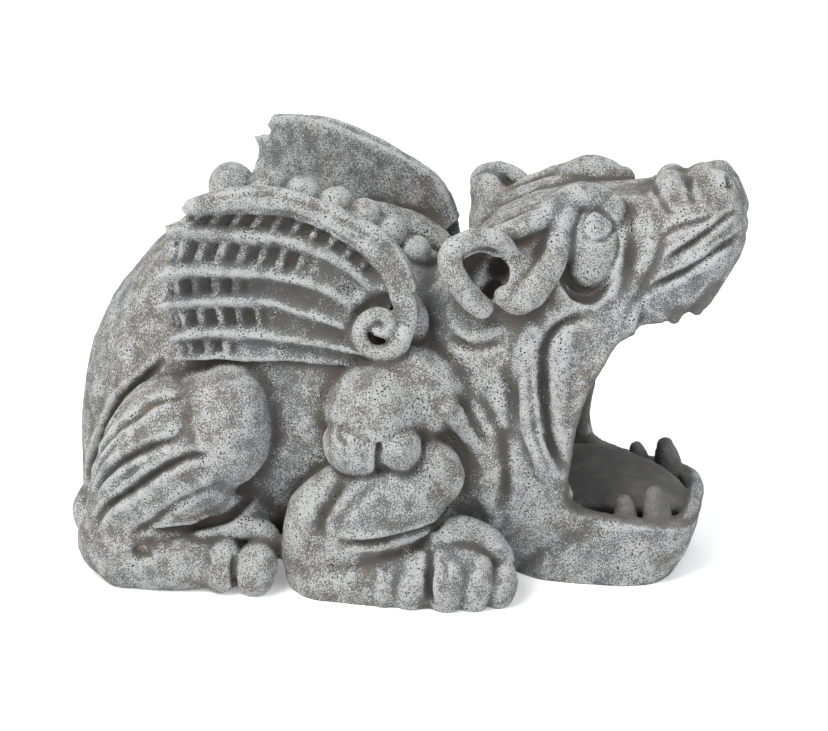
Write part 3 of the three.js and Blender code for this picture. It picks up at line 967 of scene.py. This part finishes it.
def addValue(piece, name, values):
    layer = piece.data.attributes.new(name, "FLOAT", "POINT")
    layer.data.foreach_set("value", values.astype(np.float32))


# how far each point stands out of its close surroundings, and how deep it lies in the wider ones
def measureRelief(piece):
    places, normals = meshArrays(piece)
    edges = np.empty(len(piece.data.edges) * 2, dtype=np.int32)
    piece.data.edges.foreach_get("vertices", edges)
    edges = edges.reshape(-1, 2)
    counts = np.maximum(np.bincount(edges.ravel(), minlength=len(places)), 1)
    close = averaged(places, edges, counts, surface["closeSteps"])
    wide = averaged(close, edges, counts, surface["wideSteps"])
    proud = ((places - close) * normals).sum(1)
    hollow = ((wide - places) * normals).sum(1)
    addValue(piece, "proud", averaged(proud[:, None], edges, counts, 1)[:, 0])
    addValue(piece, "hollow", averaged(hollow[:, None], edges, counts, 2)[:, 0])


# where the cast is smooth: beside any of the given shapes
def markSmooth(piece, trees):
    values = np.zeros(len(piece.data.vertices))
    for vertex in piece.data.vertices:
        for tree in trees:
            if tree.find_nearest(vertex.co, surface["smoothReach"] * metre)[0] is not None:
                values[vertex.index] = 1
                break
    addValue(piece, "smooth", values)


# the stone

stone = {
    "base": (0.105, 0.099, 0.091, 1),
    # dark brown laid into the hollows, standing for dirt there and for painted shade
    "shadeAndDirt": (0.048, 0.042, 0.037, 1),
    "slate": (0.103, 0.107, 0.110, 1),
    "chalk": (0.370, 0.378, 0.378, 1),
    "dark": (0.020, 0.018, 0.016, 1),
    "rust": (0.30, 0.16, 0.07, 1),
    "glaze": (0.085, 0.084, 0.083, 1),
}


def addNode(tree, kind, values=None, **settings):
    node = tree.nodes.new(kind)
    for name, value in settings.items():
        setattr(node, name, value)
    for name, value in (values or {}).items():
        node.inputs[name].default_value = value
    return node


def wire(tree, source, target):
    tree.links.new(source, target)


def combined(tree, kind, first, second):
    node = addNode(tree, "ShaderNodeMath", operation=kind)
    for socket, value in zip(node.inputs, (first, second)):
        if isinstance(value, (int, float)):
            socket.default_value = value
        else:
            wire(tree, value, socket)
    return node.outputs["Value"]


def spread(tree, value, low, high, toLow=0.0, toHigh=1.0):
    limits = {"From Min": low, "From Max": high, "To Min": toLow, "To Max": toHigh}
    node = addNode(tree, "ShaderNodeMapRange", limits)
    wire(tree, value, node.inputs["Value"])
    return node.outputs["Result"]


def blend(tree, share, first, second):
    node = addNode(tree, "ShaderNodeMix", data_type="RGBA")
    for socket, value in ((node.inputs[0], share), (node.inputs[6], first), (node.inputs[7], second)):
        if isinstance(value, tuple):
            socket.default_value = value
        else:
            wire(tree, value, socket)
    return node.outputs[2]


def noise(tree, place, perMetre, detail=2.0, rough=0.6):
    node = addNode(tree, "ShaderNodeTexNoise", {"Scale": perMetre, "Detail": detail, "Roughness": rough})
    wire(tree, place, node.inputs["Vector"])
    return node.outputs["Fac"]


def measured(tree, name):
    return addNode(tree, "ShaderNodeAttribute", attribute_name=name).outputs["Fac"]


def makeStoneGroup():
    tree = bpy.data.node_groups.new("castStone", "ShaderNodeTree")
    tree.interface.new_socket("Colour", in_out="OUTPUT", socket_type="NodeSocketColor")
    tree.interface.new_socket("Height", in_out="OUTPUT", socket_type="NodeSocketFloat")
    result = tree.nodes.new("NodeGroupOutput")
    place = addNode(tree, "ShaderNodeTexCoord").outputs["Object"]
    proud, hollow = measured(tree, "proud"), measured(tree, "hollow")
    band, smooth = measured(tree, "band"), measured(tree, "smooth")

    grain = spread(tree, noise(tree, place, 1300, 2, 0.8), 0.34, 0.66)
    patches = noise(tree, place, 90, 3, 0.6)
    broad = noise(tree, place, 22, 2, 0.5)

    # bare stone, warmer and darker in the hollows as dirt there and as painted shade, slate blue between the
    # ribs
    bare = blend(tree, spread(tree, broad, 0.4, 0.6), stone["base"], stone["slate"])
    bare = blend(tree, combined(tree, "MULTIPLY", band, 0.8), bare, stone["slate"])
    # painted shade: the deeper a point lies among its wider surroundings, the more of the dark brown it
    # takes, standing in for occlusion shade as well as dirt
    bare = blend(tree, spread(tree, hollow, 0.1, 1.8, 0, 0.9), bare, stone["shadeAndDirt"])

    # chalky dry brush as specks: thick on proud places, none in the hollows
    onRises = spread(tree, proud, -0.3, 0.5, 0.08, 0.66)
    inPatches = spread(tree, patches, 0.35, 0.65, -0.26, 0.26)
    amount = combined(tree, "ADD", onRises, inPatches)
    amount = combined(tree, "SUBTRACT", amount, spread(tree, hollow, 0.0, 2.0, 0.0, 0.4))
    amount = combined(tree, "SUBTRACT", amount, combined(tree, "MULTIPLY", smooth, 0.25))
    speck = spread(tree, combined(tree, "ADD", grain, amount), 0.74, 1.06)
    colour = blend(tree, speck, bare, stone["chalk"])

    # smooth glazed places keep a soft cloudy grey
    cloud = blend(tree, spread(tree, patches, 0.4, 0.65), stone["glaze"], stone["base"])
    colour = blend(tree, combined(tree, "MULTIPLY", smooth, 0.8), colour, cloud)

    # pinholes
    holes = addNode(tree, "ShaderNodeTexVoronoi", {"Scale": 520})
    wire(tree, place, holes.inputs["Vector"])
    size = spread(tree, patches, 0.4, 0.62, 0.0, 0.26)
    pin = spread(tree, combined(tree, "SUBTRACT", holes.outputs["Distance"], size), -0.04, 0.04, 1, 0)
    pin = combined(tree, "MULTIPLY", pin, spread(tree, smooth, 0, 1, 1, 0))
    colour = blend(tree, pin, colour, stone["dark"])

    # a few rust stains
    stain = spread(tree, noise(tree, place, 35, 3, 0.7), 0.66, 0.76, 0, 0.3)
    colour = blend(tree, stain, colour, stone["rust"])

    grit = combined(tree, "MULTIPLY", grain, 0.5)
    height = combined(tree, "SUBTRACT", grit, combined(tree, "MULTIPLY", pin, 1.5))
    height = combined(tree, "MULTIPLY", height, spread(tree, smooth, 0, 1, 1, 0.2))
    wire(tree, colour, result.inputs["Colour"])
    wire(tree, height, result.inputs["Height"])
    return tree


def makeStone():
    material = bpy.data.materials.new("castStone")
    material.use_nodes = True
    tree = material.node_tree
    shader = tree.nodes["Principled BSDF"]
    group = addNode(tree, "ShaderNodeGroup")
    group.node_tree = makeStoneGroup()
    bump = addNode(tree, "ShaderNodeBump", {"Strength": 0.6, "Distance": 0.0004})
    wire(tree, group.outputs["Height"], bump.inputs["Height"])
    wire(tree, bump.outputs["Normal"], shader.inputs["Normal"])
    wire(tree, group.outputs["Colour"], shader.inputs["Base Color"])
    shader.inputs["Roughness"].default_value = 0.88
    shader.inputs["Specular IOR Level"].default_value = 0.25
    return material


# the whole figure

def makeClay():
    rough = fused(makeBody() + makeLegs() + makeHead(), surface["roughGrain"], 6)
    print("rough masses", len(rough.data.polygons))
    hollow = mouthHollow()
    smoothShapes = [surfaceTree(hollow)]
    carved(rough, hollow)
    tree = surfaceTree(rough)
    carved(rough, smallHollows())
    eyes = onBothSides([lump(*face["eye"])])
    tongue, teeth = makeTongue(), makeTeeth()
    smoothShapes += [surfaceTree(piece) for piece in (tongue, teeth)]
    details = [makeToes(), eyes, tongue, teeth] + makeKnobs() + makeWings() + makeFace(tree)
    clay = fused([rough] + details, surface["fineGrain"], 2)
    print("clay with its details", len(clay.data.polygons))
    markSmooth(clay, smoothShapes)
    drawStrokes(clay)
    carveWings(clay)
    roughened(clay)
    measureRelief(clay)
    print("strokes drawn")
    return clay


def cutFlat(clay):
    deselect()
    clay.select_set(True)
    bpy.context.view_layer.objects.active = clay
    bpy.ops.object.mode_set(mode="EDIT")
    bpy.ops.mesh.select_all(action="SELECT")
    bpy.ops.mesh.bisect(plane_co=(0, 0, 0), plane_no=(0, 0, 1), use_fill=True, clear_inner=True)
    bpy.ops.object.mode_set(mode="OBJECT")
    return clay


# drops slivers that thinning leaves loose, and closes the pinprick gaps beside them
def tidied(clay):
    deselect()
    clay.select_set(True)
    bpy.context.view_layer.objects.active = clay
    bpy.ops.object.mode_set(mode="EDIT")
    bpy.ops.mesh.select_all(action="SELECT")
    bpy.ops.mesh.separate(type="LOOSE")
    bpy.ops.object.mode_set(mode="OBJECT")
    pieces = sorted(bpy.context.selected_objects, key=lambda piece: -len(piece.data.polygons))
    for sliver in pieces[1:]:
        bpy.data.objects.remove(sliver)
    clay = pieces[0]
    deselect()
    clay.select_set(True)
    bpy.context.view_layer.objects.active = clay
    bpy.ops.object.mode_set(mode="EDIT")
    bpy.ops.mesh.select_all(action="SELECT")
    bpy.ops.mesh.dissolve_degenerate(threshold=surface["sliver"] * metre)
    bpy.ops.mesh.select_all(action="SELECT")
    bpy.ops.mesh.fill_holes(sides=surface["gapSides"])
    bpy.ops.object.mode_set(mode="OBJECT")
    return clay


def main():
    makeStudio()
    print("studio ready")
    clay = makeClay()
    thin = clay.modifiers.new("thin", "DECIMATE")
    thin.ratio = surface["triangles"] / (2 * len(clay.data.polygons))
    applied(clay, thin)
    clay = tidied(cutFlat(clay))
    bpy.ops.object.shade_smooth()
    clay.name = "carvedGargoyle"
    print("finished mesh", len(clay.data.polygons))
    clay.data.materials.clear()
    clay.data.materials.append(makeStone())
    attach(clay, "root")
    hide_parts("gargoyle")


main()
